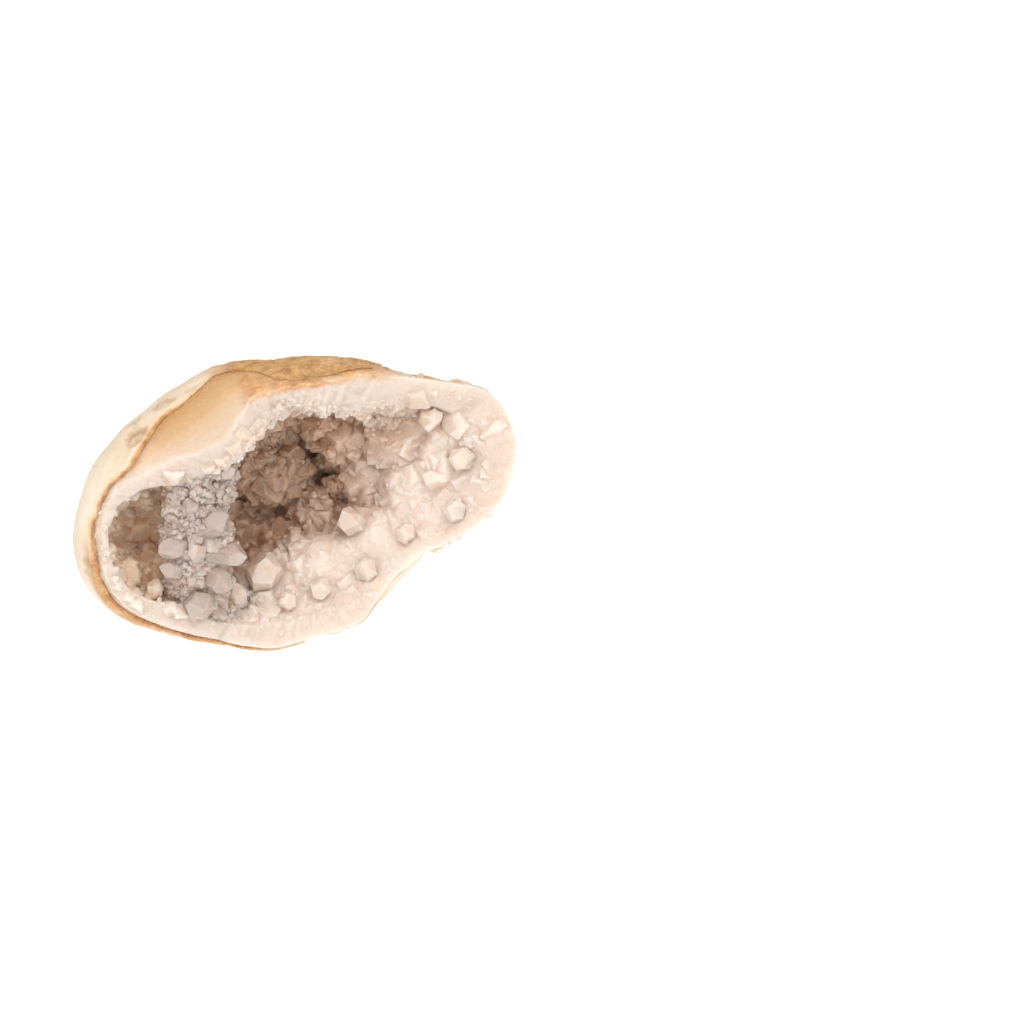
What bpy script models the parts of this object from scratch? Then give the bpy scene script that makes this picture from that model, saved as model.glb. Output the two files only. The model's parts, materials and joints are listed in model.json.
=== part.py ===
"""Half of a broken quartz geode, standing on a small flat spot with its hollow facing -Y.

Nodes: the weathered rind, the white quartz wall that lines it, the curtain of quartz that crosses the hollow,
and the largest free-standing crystals, each seated on its wall with a 0.3 mm gap.

The body is laid out in its own axes, in millimetres: u to the right, v up and w back into the rock, with w = 0 at
the widest section. Those axes lean back by LEAN about X and then move by ORIGIN into the part's frame, in metres.
"""

import math

import bmesh
import bpy
import numpy as np
from mathutils import Matrix, Vector
from mathutils.bvhtree import BVHTree

# ---------------------------------------------------------------- driving dimensions, in millimetres and degrees
LEAN = 12.0  # the body leans back by this much
ORIGIN = (0.69, -8.43, 29.95)  # moves the body so that its box is centred on X and Y and its flat spot is at Z 0
GAP = 0.3  # clearance between neighbouring solids
# Every 30 degrees: thickness of the weathered crust near the broken face, and its thickness behind.
RIND = (1.0, 1.1, 1.3, 1.7, 2.1, 2.4, 2.4, 2.4, 2.1, 1.5, 1.1, 1.0)
RIND_BEHIND = 1.8
FLAT = -29.95  # height of the flat spot under the body, before ORIGIN
FLAT_ROUND = 0.5  # how softly the underside runs into the flat spot

# The widest outline, as a radius every 10 degrees from +u towards +v.
OUTLINE = (41.2, 45.0, 46.6, 45.2, 38.8, 34.6, 32.6, 31.2, 30.0, 29.4, 29.3, 30.6, 31.8, 32.8, 34.2, 35.9, 38.7, 41.4,
           43.5, 45.2, 45.0, 43.0, 38.8, 35.0, 32.3, 31.0, 30.0, 28.2, 27.0, 27.2, 27.2, 25.6, 25.0, 26.0, 28.6, 35.0)
ROUNDED_OUTLINE = tuple(0.99 * max(OUTLINE[i], sum(OUTLINE[(i + k) % 36] for k in range(-4, 5)) / 9) for i in range(36))
# Every 30 degrees: how deep the body goes behind its widest section, and how square its section is there.
BACK_DEPTH = (27.0, 28.5, 30.0, 30.0, 30.0, 30.0, 29.0, 29.5, 31.0, 32.0, 30.0, 27.0)
BACK_POWER = (2.1, 2.1, 2.2, 2.3, 2.3, 2.3, 2.3, 2.6, 3.3, 3.6, 3.2, 2.5)
FRONT_DEPTH = 20.0
FRONT_POWER = 2.1
# Every 15 degrees: where the broken edge lies, as a share of the outline's radius, for the crust and for the quartz.
CRUST_EDGE = (1.0, 1.0, 1.0, 0.98, 0.91, 0.83, 0.81, 0.91, 0.935, 0.88, 0.872, 0.80, 0.888, 0.90, 0.955, 0.985, 1.0,
              1.0, 1.0, 1.0, 1.0, 1.0, 1.0, 1.0)
QUARTZ_EDGE = (1.0, 1.0, 1.0, 0.98, 0.91, 0.83, 0.80, 0.77, 0.66, 0.60, 0.63, 0.74, 0.888, 0.90, 0.955, 0.985, 1.0,
               1.0, 1.0, 1.0, 1.0, 1.0, 1.0, 1.0)
# Every 30 degrees: how far behind the widest section the edge is broken away, for the crust and for the quartz.
CRUST_BACK = (6.0, 5.0, 2.0, 0.0, 0.0, 0.0, 0.0, 0.0, 0.5, 3.0, 5.5, 6.5)
QUARTZ_BACK = (2.0, 1.0, 0.0, 0.0, 0.0, 0.0, 0.0, 0.0, 0.0, 1.0, 2.5, 2.5)

# The hollow: ellipsoids (centre u, v, w; semi-axes; turn in the u-v plane) that run into one another.
HOLLOW = (
    ((2.0, 4.5, 2.0), (24.0, 13.0, 20.5), 20.0),
    ((-25.5, -7.0, -2.0), (12.5, 12.5, 15.0), 10.0),
    ((20.0, 10.0, -1.0), (18.0, 8.5, 13.0), 12.0),
    ((-13.5, -8.5, -1.0), (9.5, 13.5, 16.0), 0.0),
    ((10.5, -6.0, -2.0), (30.0, 15.0, 10.0), 27.0),
    ((-5.0, 8.8, -5.0), (12.5, 5.4, 11.0), 35.0),
    ((-0.5, 15.6, -5.0), (3.2, 4.0, 9.0), 0.0),
)
HOLLOW_CENTRE = (-2.0, 0.0, -1.0)
HOLLOW_BLEND = 1.6
# Rounded mounds of quartz on the wall of the hollow: centre u, v, w and radius.
MOUNDS = (
    (-6.0, 7.5, 21.5, 8.5), (8.5, 15.0, 12.0, 6.0), (20.0, 14.5, 11.0, 7.0), (14.0, 6.5, 17.5, 6.5),
    (24.0, 4.0, 15.5, 9.0), (3.0, -3.0, 20.0, 6.0), (31.0, 10.0, 10.5, 8.0), (16.0, -8.5, 16.5, 9.5),
    (4.0, -14.5, 14.5, 9.0), (-8.0, -16.0, 14.0, 6.0), (-31.0, -3.0, 14.5, 6.5), (-28.0, -15.0, 9.5, 5.5),
    (-15.0, 10.0, 16.5, 7.0),
)
# The curtain of quartz across the hollow, from the top edge to the floor: u, v, w, half-width, half-depth.
CURTAIN = (
    (-15.5, 13.5, -9.0, 5.0, 5.2), (-17.0, 8.5, -7.5, 5.0, 4.6), (-18.5, 4.0, -6.0, 5.0, 4.2),
    (-19.5, -1.0, -4.5, 5.2, 4.0), (-19.8, -6.0, -3.0, 6.0, 4.2), (-19.5, -11.0, -1.0, 5.6, 4.6),
    (-19.5, -16.5, 2.0, 5.4, 5.2), (-19.5, -22.0, 5.0, 5.6, 5.6),
)
# The largest crystals: name, foot u and v, width, length, and how far the tip leans to +u and +v.
WALL_CRYSTALS = (
    ("crystal_floor_upright", -12.2, -20.8, 3.8, 6.2, 0.0, 0.75),
    ("crystal_floor_pointed", -6.6, -15.0, 6.2, 7.8, 0.2, 0.55),
    ("crystal_floor_left", -28.4, -19.0, 2.8, 4.6, 0.1, 0.7),
    ("crystal_floor_small", -25.0, -17.2, 2.4, 4.0, 0.2, 0.7),
    ("crystal_floor_low", -2.0, -20.0, 3.4, 3.8, 0.1, 0.4),
    ("crystal_floor_right", 4.5, -17.2, 4.0, 4.0, 0.25, 0.35),
    ("crystal_slope_round", 11.2, -4.2, 4.6, 5.4, -0.25, 0.35),
    ("crystal_slope_low", 14.0, -13.5, 4.2, 3.6, -0.2, 0.3),
    ("crystal_slope_mid", 22.0, -6.0, 3.8, 3.4, -0.3, 0.25),
    ("crystal_slope_right", 32.0, -1.5, 4.2, 3.6, -0.4, 0.2),
    ("crystal_slope_end", 33.0, 9.0, 3.8, 3.4, -0.6, 0.0),
    ("crystal_roof_mid", 3.5, 18.0, 3.4, 5.4, 0.0, -0.6),
    ("crystal_roof_right", 14.0, 18.6, 3.6, 5.2, 0.1, -0.6),
    ("crystal_roof_end", 27.0, 19.0, 3.8, 5.0, -0.1, -0.6),
    ("crystal_back_mid", 3.0, 8.2, 3.4, 5.6, 0.3, -0.1),
    ("crystal_back_low", 5.5, 2.0, 3.2, 5.0, 0.2, 0.2),
    ("crystal_left_low", -34.5, -14.0, 3.4, 4.8, 0.5, 0.4),
    ("crystal_left_high", -32.0, 2.6, 2.8, 4.4, 0.3, -0.5),
)
# Crystals that grow from the curtain: name, foot u, v, w, width, length, and the direction of the tip.
CURTAIN_CRYSTALS = (
    ("crystal_curtain_tip", -17.0, -9.5, -4.0, 4.0, 8.2, (0.93, -0.12, -0.35)),
    ("crystal_curtain_shoulder", -17.5, -4.5, -5.5, 4.6, 6.6, (0.72, 0.35, -0.60)),
    ("crystal_curtain_hanging", -18.0, -13.6, -2.5, 3.8, 7.6, (0.72, -0.40, -0.56)),
    ("crystal_curtain_left", -21.5, -7.5, -4.5, 3.8, 6.8, (-0.76, -0.32, -0.56)),
    ("crystal_curtain_left_low", -21.5, -13.5, -2.0, 3.4, 6.4, (-0.84, 0.16, -0.52)),
    ("crystal_curtain_foot", -20.0, -19.0, 0.8, 4.6, 8.4, (0.22, -0.25, -0.92)),
    ("crystal_curtain_top", -16.0, 6.5, -7.5, 3.4, 7.6, (0.62, 0.05, -0.78)),
    ("crystal_curtain_front", -19.8, 0.5, -6.5, 3.2, 5.6, (-0.15, -0.25, -0.95)),
)
CRYSTAL_FACE_DEG = 51.8  # tilt of quartz's end faces from the base


# ---------------------------------------------------------------- small numeric helpers
def ring_value(table, angle_deg):
    """A smooth value round a closed table of evenly spaced stations (Catmull-Rom)."""
    t = np.asarray(table, float)
    n = len(t)
    x = np.mod(np.asarray(angle_deg, float), 360.0) / 360.0 * n
    i = np.floor(x).astype(int)
    f = x - i
    a, b, c, d = t[(i - 1) % n], t[i % n], t[(i + 1) % n], t[(i + 2) % n]
    return 0.5 * (2 * b + (c - a) * f + (2 * a - 5 * b + 4 * c - d) * f**2 + (3 * b - a - 3 * c + d) * f**3)


_R = np.random.RandomState(11)
_PERM = np.concatenate([_R.permutation(256)] * 3)
_GRAD = _R.normal(size=(256, 3))
_GRAD /= np.linalg.norm(_GRAD, axis=1)[:, None]


def lumps(p, size, seed=0):
    """Smooth three-dimensional noise from -1 to 1 with features about `size` across."""
    q = np.asarray(p, float) / size + seed * 17.31
    i = np.floor(q).astype(int)
    f = q - i
    s = f * f * f * (f * (f * 6 - 15) + 10)
    total = np.zeros(len(q))
    for cx in (0, 1):
        for cy in (0, 1):
            for cz in (0, 1):
                h = _PERM[(_PERM[(_PERM[(i[:, 0] + cx) & 255] + i[:, 1] + cy) & 255] + i[:, 2] + cz) & 255]
                g = _GRAD[h]
                d = ((f - (cx, cy, cz)) * g).sum(1)
                w = (
                    (s[:, 0] if cx else 1 - s[:, 0])
                    * (s[:, 1] if cy else 1 - s[:, 1])
                    * (s[:, 2] if cz else 1 - s[:, 2])
                )
                total += w * d
    return total * 1.6


# ---------------------------------------------------------------- the body's shape
def outer_points(d):
    """Points of the body's outside, in the directions d from its middle."""
    d = np.asarray(d, float)
    angle = np.degrees(np.arctan2(d[:, 1], d[:, 0]))
    side = np.hypot(d[:, 0], d[:, 1])
    back = d[:, 2] > 0
    behind = np.clip((d[:, 2] - 0.25) / 0.5, 0, 1)
    radius = ring_value(OUTLINE, angle) * (1 - behind) + ring_value(ROUNDED_OUTLINE, angle) * behind
    depth = np.where(back, ring_value(BACK_DEPTH, angle), FRONT_DEPTH)
    power = np.where(back, ring_value(BACK_POWER, angle), FRONT_POWER)
    t = ((side / radius) ** power + (np.abs(d[:, 2]) / depth) ** power) ** (-1.0 / power)
    p = d * t[:, None]
    away = np.clip(np.abs(d[:, 2]) / 0.45, 0, 1)
    swell = 1.5 * lumps(p, 19.0, 1) + 0.7 * lumps(p, 8.5, 2)
    p = p + d * (swell * (0.12 + 0.88 * away * back))[:, None]
    # The underside is worn flat where the body stands.
    c, s = math.cos(math.radians(LEAN)), math.sin(math.radians(LEAN))
    height = p[:, 1] * c - p[:, 2] * s - (FLAT - 0.7 * FLAT_ROUND)
    lift = FLAT_ROUND * np.logaddexp(0.0, height / FLAT_ROUND) - height
    return p + lift[:, None] * np.array((0.0, c, -s))


def hollow_field(p):
    """Below 0 inside the hollow."""
    total = np.zeros(len(p))
    for centre, semi, turn in HOLLOW:
        q = p - np.array(centre)
        c, s = math.cos(math.radians(turn)), math.sin(math.radians(turn))
        q = np.stack([q[:, 0] * c + q[:, 1] * s, -q[:, 0] * s + q[:, 1] * c, q[:, 2]], 1)
        away = (np.linalg.norm(q / np.array(semi), axis=1) - 1) * min(semi)
        total += np.exp(-np.clip(away, -60, 60) / HOLLOW_BLEND)
    field = -HOLLOW_BLEND * np.log(total)
    for u, v, w, r in MOUNDS:
        inside = r - np.linalg.norm(p - np.array((u, v, w)), axis=1)
        k = 0.8
        h = np.clip(0.5 + 0.5 * (inside - field) / k, 0, 1)
        field = field * (1 - h) + inside * h + k * h * (1 - h)
    return field


def hollow_points(d, inward=0.0):
    """Points of the hollow's wall, in the directions d from its centre, drawn in by `inward`."""
    d = np.asarray(d, float)
    centre = np.array(HOLLOW_CENTRE)
    steps = np.arange(2.0, 64.0, 0.5)
    found = np.full(len(d), steps[-1])
    open_ = np.ones(len(d), bool)
    for t in steps:
        hit = open_ & (hollow_field(centre + d * t) > -inward)
        found[hit] = t
        open_ &= ~hit
    low, high = found - 0.5, found.copy()
    for _ in range(12):
        mid = (low + high) / 2
        out = hollow_field(centre + d * mid[:, None]) > -inward
        high = np.where(out, mid, high)
        low = np.where(out, low, mid)
    return centre + d * high[:, None]


def break_depth(tables, angle, share, inner_slope):
    """w of a broken surface at an angle and a share of the outline's radius."""
    radius = ring_value(OUTLINE, angle)
    edge = np.clip(ring_value(tables[0], angle), 0.3, 1.0)
    at_edge = -FRONT_DEPTH * (1 - edge**FRONT_POWER) ** (1 / FRONT_POWER) + np.maximum(ring_value(tables[1], angle), 0)
    beyond = np.clip((1 - edge) / 0.06, 0, 1) * 0.5
    run = (edge - share) * radius
    return at_edge + np.where(run > 0, inner_slope * np.minimum(run, 14.0), beyond * run)


# ---------------------------------------------------------------- mesh helpers
def sphere_directions(level):
    bm = bmesh.new()
    bmesh.ops.create_icosphere(bm, subdivisions=level, radius=1.0)
    points = np.array([v.co for v in bm.verts])
    faces = [[v.index for v in f.verts] for f in bm.faces]
    bm.free()
    return points / np.linalg.norm(points, axis=1)[:, None], faces


def inset(points, faces, more=0.0):
    """The outside moved inwards by the crust's thickness and `more`."""
    angle = np.degrees(np.arctan2(points[:, 1], points[:, 0]))
    behind = np.clip((points[:, 2] - 4.0) / 10.0, 0, 1)
    by = ring_value(RIND, angle) * (1 - behind) + RIND_BEHIND * behind + more
    bm = bmesh.new()
    verts = [bm.verts.new(p) for p in points]
    for f in faces:
        bm.faces.new([verts[i] for i in f])
    bm.normal_update()
    moved = np.array([v.co - v.normal * b for v, b in zip(verts, by)])
    bm.free()
    return moved


def to_frame(points):
    """Body axes in millimetres to the part's frame in metres."""
    p = np.asarray(points, float).reshape(-1, 3)
    c, s = math.cos(math.radians(LEAN)), math.sin(math.radians(LEAN))
    x, y, z = p[:, 0], p[:, 2] * c + p[:, 1] * s, p[:, 1] * c - p[:, 2] * s
    return (np.stack([x, y, z], 1) + np.array(ORIGIN)) / 1000.0


def solid(name, points, faces, helper=False):
    mesh = bpy.data.meshes.new(name)
    mesh.from_pydata([tuple(p) for p in to_frame(points)], [], [list(f) for f in faces])
    bm = bmesh.new()
    bm.from_mesh(mesh)
    bmesh.ops.recalc_face_normals(bm, faces=bm.faces)
    bm.to_mesh(mesh)
    bm.free()
    obj = bpy.data.objects.new(name, mesh)
    bpy.context.scene.collection.objects.link(obj)
    if helper:
        obj.hide_render = True
        obj.display_type = "WIRE"
    return obj


def combine(obj, other, operation):
    modifier = obj.modifiers.new(operation.lower(), "BOOLEAN")
    modifier.operation = operation
    modifier.solver = "EXACT"
    modifier.object = other
    return modifier


def break_cutter(name, tables, seed, inner_slope, forward=0.0):
    """A block in front of a broken surface: rings of points that follow the outline, closed far in front."""
    around, shares = 54, (0.40, 0.56, 0.70, 0.82, 0.91, 0.98, 1.06, 1.30)
    points, faces = [], []
    angles = np.arange(around) * 360.0 / around
    radius = ring_value(OUTLINE, angles)
    for share in shares:
        w = break_depth(tables, angles, share, inner_slope)
        u, v = radius * share * np.cos(np.radians(angles)), radius * share * np.sin(np.radians(angles))
        ring = np.stack([u, v, w], 1)
        ring[:, 2] += 0.8 * lumps(ring, 9.0, seed) + 0.45 * lumps(ring, 4.0, seed + 1) - forward
        points.append(ring)
    front = points[-1].copy()
    front[:, 2] = -70.0
    points.append(front)
    middle_back = np.array([[0, 0, points[0][:, 2].mean()]])
    middle_front = np.array([[0, 0, -70.0]])
    rows = len(points)
    points = np.concatenate([*points, middle_back, middle_front])
    for r in range(rows - 1):
        for a in range(around):
            b = (a + 1) % around
            faces.append([r * around + a, r * around + b, (r + 1) * around + b, (r + 1) * around + a])
    for a in range(around):
        b = (a + 1) % around
        faces.append([a, len(points) - 2, b])
        faces.append([(rows - 1) * around + b, len(points) - 1, (rows - 1) * around + a])
    return solid(name, points, [f[::-1] for f in faces], helper=True)


def block(name, low, high):
    """A plain block in the part's frame, in metres, for cutting."""
    bm = bmesh.new()
    bmesh.ops.create_cube(bm, size=1.0)
    size, mid = Vector(high) - Vector(low), (Vector(high) + Vector(low)) / 2
    bmesh.ops.transform(bm, matrix=Matrix.Translation(mid) @ Matrix.Diagonal((*size, 1.0)), verts=bm.verts)
    mesh = bpy.data.meshes.new(name)
    bm.to_mesh(mesh)
    bm.free()
    obj = bpy.data.objects.new(name, mesh)
    bpy.context.scene.collection.objects.link(obj)
    obj.hide_render = True
    obj.display_type = "WIRE"
    return obj


def material(name, colour, roughness, transmission=0.0):
    mat = bpy.data.materials.new(name)
    mat.use_nodes = True
    node = mat.node_tree.nodes["Principled BSDF"]
    node.inputs["Base Color"].default_value = (*colour, 1.0)
    node.inputs["Roughness"].default_value = roughness
    node.inputs["Metallic"].default_value = 0.0
    node.inputs["Transmission Weight"].default_value = transmission
    return mat


def shade(obj, mat, angle=35.0):
    obj.data.materials.append(mat)
    obj.data.shade_smooth()
    obj.data.set_sharp_from_angle(angle=math.radians(angle))


def crystal_shape(width, length, seed, grow=0.0):
    """A six-sided quartz prism with six end faces, foot at the origin and tip on +Z: (points, faces)."""
    rng = np.random.RandomState(seed)
    tilt = math.radians(CRYSTAL_FACE_DEG)
    half = width / 2 / math.cos(math.radians(30)) * 0.93
    planes = []
    for k in range(6):
        a = math.radians(60 * k)
        planes.append((math.cos(a), math.sin(a), 0.0, half * (1 + 0.12 * rng.uniform(-1, 1)) + grow))
    reach = length * math.cos(tilt)
    for k in range(6):
        a = math.radians(60 * k)
        more = (0.0 if k % 2 == 0 else 0.10 * width) + 0.05 * width * rng.uniform(0, 1)
        planes.append((math.sin(tilt) * math.cos(a), math.sin(tilt) * math.sin(a), math.cos(tilt), reach + more + grow))
    planes.append((0.0, 0.0, -1.0, 4.0 + grow))
    planes = np.array(planes)
    corners = []
    n = len(planes)
    for i in range(n):
        for j in range(i + 1, n):
            for k in range(j + 1, n):
                m = planes[[i, j, k], :3]
                if abs(np.linalg.det(m)) < 1e-6:
                    continue
                p = np.linalg.solve(m, planes[[i, j, k], 3])
                if (planes[:, :3] @ p <= planes[:, 3] + 1e-6).all():
                    if not any(np.linalg.norm(p - q) < 1e-4 for q in corners):
                        corners.append(p)
    bm = bmesh.new()
    for p in corners:
        bm.verts.new(p)
    bmesh.ops.convex_hull(bm, input=bm.verts)
    bmesh.ops.dissolve_limit(bm, angle_limit=0.01, verts=bm.verts, edges=bm.edges)
    bm.verts.index_update()
    points = np.array([v.co for v in bm.verts])
    faces = [[v.index for v in f.verts] for f in bm.faces]
    bm.free()
    return points, faces


def placed(points, foot, direction, spin):
    turn = Vector(direction).normalized().to_track_quat("Z", "Y").to_matrix()
    turn = np.array(turn @ Matrix.Rotation(spin, 3, "Z"))
    return points @ turn.T + np.array(foot)


def curtain_rings(grow=0.0, around=14):
    """The curtain as rings of points, level by level, and its faces."""
    rows = []
    stations = np.array(CURTAIN, float)
    levels = np.linspace(0, len(stations) - 1, 17)
    for level in levels:
        i = min(int(level), len(stations) - 2)
        f = level - i
        u, v, w, a, b = stations[i] * (1 - f) + stations[i + 1] * f
        angles = np.arange(around) / around * 2 * math.pi
        ring = np.stack([u + a * np.cos(angles), np.full(around, v), w + b * np.sin(angles)], 1)
        bump = 1.0 * lumps(ring, 5.5, 7) + 0.5 * lumps(ring, 2.8, 8)
        out = np.stack([np.cos(angles), np.zeros(around), np.sin(angles)], 1)
        rows.append(ring + out * (bump + grow)[:, None])
    rows[0][:, 1] += grow
    rows[-1][:, 1] -= grow
    points = np.concatenate(rows)
    faces = []
    for r in range(len(rows) - 1):
        for k in range(around):
            m = (k + 1) % around
            faces.append([r * around + k, r * around + m, (r + 1) * around + m, (r + 1) * around + k])
    faces.append(list(range(around)))
    faces.append([(len(rows) - 1) * around + k for k in range(around)][::-1])
    return points, faces


# ---------------------------------------------------------------- build
def main():
    for obj in list(bpy.data.objects):
        bpy.data.objects.remove(obj, do_unlink=True)

    crust = material("weathered_rind", (0.78, 0.62, 0.42), 0.85)
    quartz = material("white_quartz", (0.86, 0.78, 0.72), 0.45)
    clear = material("clear_quartz", (0.86, 0.80, 0.76), 0.12, 0.35)

    fine, fine_faces = sphere_directions(5)
    coarse, coarse_faces = sphere_directions(4)
    outside = outer_points(fine)
    middle = outer_points(coarse)
    floor = block("floor_cutter", (-0.2, -0.2, -0.2), (0.2, 0.2, (FLAT + ORIGIN[2]) / 1000.0))

    # The crust: the outside less its own inside, broken open in front and flat underneath.
    rind = solid("rind", outside, fine_faces)
    rind_core = solid("rind_core", inset(middle, coarse_faces), coarse_faces, helper=True)
    combine(rind, rind_core, "DIFFERENCE")
    combine(rind, break_cutter("rind_break", (CRUST_EDGE, CRUST_BACK), 3, 0.30), "DIFFERENCE")
    combine(rind, floor, "DIFFERENCE")
    shade(rind, crust)

    # The quartz wall: it fills the crust, is broken open in front and holds the hollow.
    wall = solid("quartz_wall", inset(middle, coarse_faces, GAP), coarse_faces)
    hollow = solid("hollow", hollow_points(fine), fine_faces, helper=True)
    combine(wall, break_cutter("quartz_break", (QUARTZ_EDGE, QUARTZ_BACK), 5, 0.22), "DIFFERENCE")
    combine(wall, hollow, "DIFFERENCE")
    shade(wall, quartz)

    # Everything inside the hollow keeps GAP to its wall.
    room = solid("room", hollow_points(fine, inward=GAP * 1.4), fine_faces, helper=True)
    combine(room, break_cutter("open_front", (QUARTZ_EDGE, QUARTZ_BACK), 5, 0.22, GAP * 1.4), "UNION")

    points, faces = curtain_rings()
    curtain = solid("quartz_curtain", points, faces)
    combine(curtain, room, "INTERSECT")
    shade(curtain, clear)
    points, faces = curtain_rings(grow=GAP * 1.4)
    curtain_room = solid("curtain_room", points, faces, helper=True)

    tree = BVHTree.FromPolygons([tuple(p) for p in hollow_points(fine)], fine_faces)
    for k, (name, u, v, width, length, lean_u, lean_v) in enumerate(WALL_CRYSTALS):
        hit, normal, _, _ = tree.ray_cast(Vector((u, v, 60.0)), Vector((0, 0, -1)))
        if hit is None:
            raise RuntimeError(name + " finds no wall")
        out = normal if normal.z < 0 else -normal
        tip = out * 0.8 + Vector((lean_u, lean_v, -0.55))
        shape, faces = crystal_shape(width, length, 100 + k)
        obj = solid(name, placed(shape, hit, tip, 0.5 * k), faces)
        combine(obj, room, "INTERSECT")
        combine(obj, curtain_room, "DIFFERENCE")
        shade(obj, clear, 20.0)
    for k, (name, u, v, w, width, length, tip) in enumerate(CURTAIN_CRYSTALS):
        shape, faces = crystal_shape(width, length, 200 + k)
        obj = solid(name, placed(shape, (u, v, w), tip, 0.7 * k), faces)
        combine(obj, curtain_room, "DIFFERENCE")
        combine(obj, room, "INTERSECT")
        shade(obj, clear, 20.0)


main()
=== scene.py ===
"""Looks of the quartz geode half: a fine crust, a fine quartz wall with a druse of small crystals, and the studio."""

import json
import math

import bmesh
import bpy
import numpy as np
from mathutils import Matrix, Vector
from mathutils.bvhtree import BVHTree

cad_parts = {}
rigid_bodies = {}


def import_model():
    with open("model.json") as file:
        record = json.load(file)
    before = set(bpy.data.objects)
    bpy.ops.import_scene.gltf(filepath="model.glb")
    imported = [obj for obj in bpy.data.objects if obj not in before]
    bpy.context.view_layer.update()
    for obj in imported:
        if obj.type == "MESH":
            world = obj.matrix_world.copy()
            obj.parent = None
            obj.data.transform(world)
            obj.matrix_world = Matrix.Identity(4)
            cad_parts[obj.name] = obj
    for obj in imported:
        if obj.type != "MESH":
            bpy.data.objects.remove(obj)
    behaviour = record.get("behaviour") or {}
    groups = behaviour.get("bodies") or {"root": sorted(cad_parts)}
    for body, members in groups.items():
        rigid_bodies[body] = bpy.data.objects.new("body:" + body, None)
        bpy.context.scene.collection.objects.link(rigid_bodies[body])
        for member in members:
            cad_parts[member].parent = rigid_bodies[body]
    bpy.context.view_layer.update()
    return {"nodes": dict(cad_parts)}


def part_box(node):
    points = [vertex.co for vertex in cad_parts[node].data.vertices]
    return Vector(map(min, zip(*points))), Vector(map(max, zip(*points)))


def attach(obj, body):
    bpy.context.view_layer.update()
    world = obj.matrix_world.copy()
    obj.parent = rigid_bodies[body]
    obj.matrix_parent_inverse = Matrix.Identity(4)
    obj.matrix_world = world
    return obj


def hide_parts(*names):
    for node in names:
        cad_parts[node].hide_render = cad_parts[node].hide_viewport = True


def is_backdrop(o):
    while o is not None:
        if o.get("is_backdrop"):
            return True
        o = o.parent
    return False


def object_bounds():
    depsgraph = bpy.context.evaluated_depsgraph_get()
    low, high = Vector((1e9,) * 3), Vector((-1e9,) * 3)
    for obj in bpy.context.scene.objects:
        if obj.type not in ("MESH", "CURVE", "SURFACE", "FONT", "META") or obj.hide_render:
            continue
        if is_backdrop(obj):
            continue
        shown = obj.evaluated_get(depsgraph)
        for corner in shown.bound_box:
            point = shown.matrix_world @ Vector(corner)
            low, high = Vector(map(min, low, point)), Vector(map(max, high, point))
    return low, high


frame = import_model()
rng = np.random.RandomState(5)

# ---------------------------------------------------------------- the body, in millimetres (see part.py's same shape)
LEAN = 12.0
ORIGIN = (0.69, -8.43, 29.95)
FLAT, FLAT_ROUND = -29.95, 0.5
RIND = (0.35, 0.35, 0.3, 0.25, 0.6, 1.2, 1.4, 1.3, 0.9, 0.4, 0.3, 0.3)
RIND_BEHIND = 1.6
OUTLINE = (41.2, 45.0, 46.6, 45.2, 38.8, 34.6, 32.6, 31.2, 30.0, 29.4, 29.3, 30.6, 31.8, 32.8, 34.2, 35.9, 38.7, 41.4,
           43.5, 45.2, 45.0, 43.0, 38.8, 35.0, 32.3, 31.0, 30.0, 28.2, 27.0, 27.2, 27.2, 25.6, 25.0, 26.0, 28.6, 35.0)
ROUNDED_OUTLINE = tuple(0.99 * max(OUTLINE[i], sum(OUTLINE[(i + k) % 36] for k in range(-4, 5)) / 9) for i in range(36))
BACK_DEPTH = (27.0, 28.5, 30.0, 30.0, 30.0, 30.0, 29.0, 29.5, 31.0, 32.0, 30.0, 27.0)
BACK_POWER = (2.1, 2.1, 2.2, 2.3, 2.3, 2.3, 2.3, 2.6, 3.3, 3.6, 3.2, 2.5)
FRONT_DEPTH, FRONT_POWER = 20.0, 2.1
CRUST_EDGE = (1.0, 1.0, 1.0, 0.985, 0.93, 0.855, 0.83, 0.91, 0.95, 0.90, 0.89, 0.82, 0.91, 0.925, 0.97, 0.995, 1.0,
              1.0, 1.0, 1.0, 1.0, 1.0, 1.0, 1.0)
QUARTZ_EDGE = (1.0, 1.0, 1.0, 0.98, 0.91, 0.83, 0.80, 0.77, 0.66, 0.60, 0.63, 0.74, 0.888, 0.90, 0.955, 0.985, 1.0,
               1.0, 1.0, 1.0, 1.0, 1.0, 1.0, 1.0)
CRUST_BACK = (6.0, 5.0, 2.0, 0.0, 0.0, 0.0, 0.0, 0.0, 0.5, 3.0, 5.5, 6.5)
QUARTZ_BACK = (2.0, 1.0, 0.0, 0.0, 0.0, 0.0, 0.0, 0.0, 0.0, 1.0, 2.5, 2.5)
HOLLOW = (
    ((2.0, 4.5, 2.0), (24.0, 13.0, 20.5), 20.0),
    ((-25.5, -7.0, -2.0), (12.5, 12.5, 15.0), 10.0),
    ((20.0, 10.0, -1.0), (18.0, 8.5, 13.0), 12.0),
    ((-13.5, -8.5, -1.0), (9.5, 13.5, 16.0), 0.0),
    ((10.5, -6.0, -2.0), (30.0, 15.0, 10.0), 27.0),
    ((-5.0, 8.8, -5.0), (12.5, 5.4, 11.0), 35.0),
    ((-0.5, 15.6, -5.0), (3.2, 4.0, 9.0), 0.0),
)
HOLLOW_CENTRE = (-2.0, 0.0, -1.0)
HOLLOW_BLEND = 1.6
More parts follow.
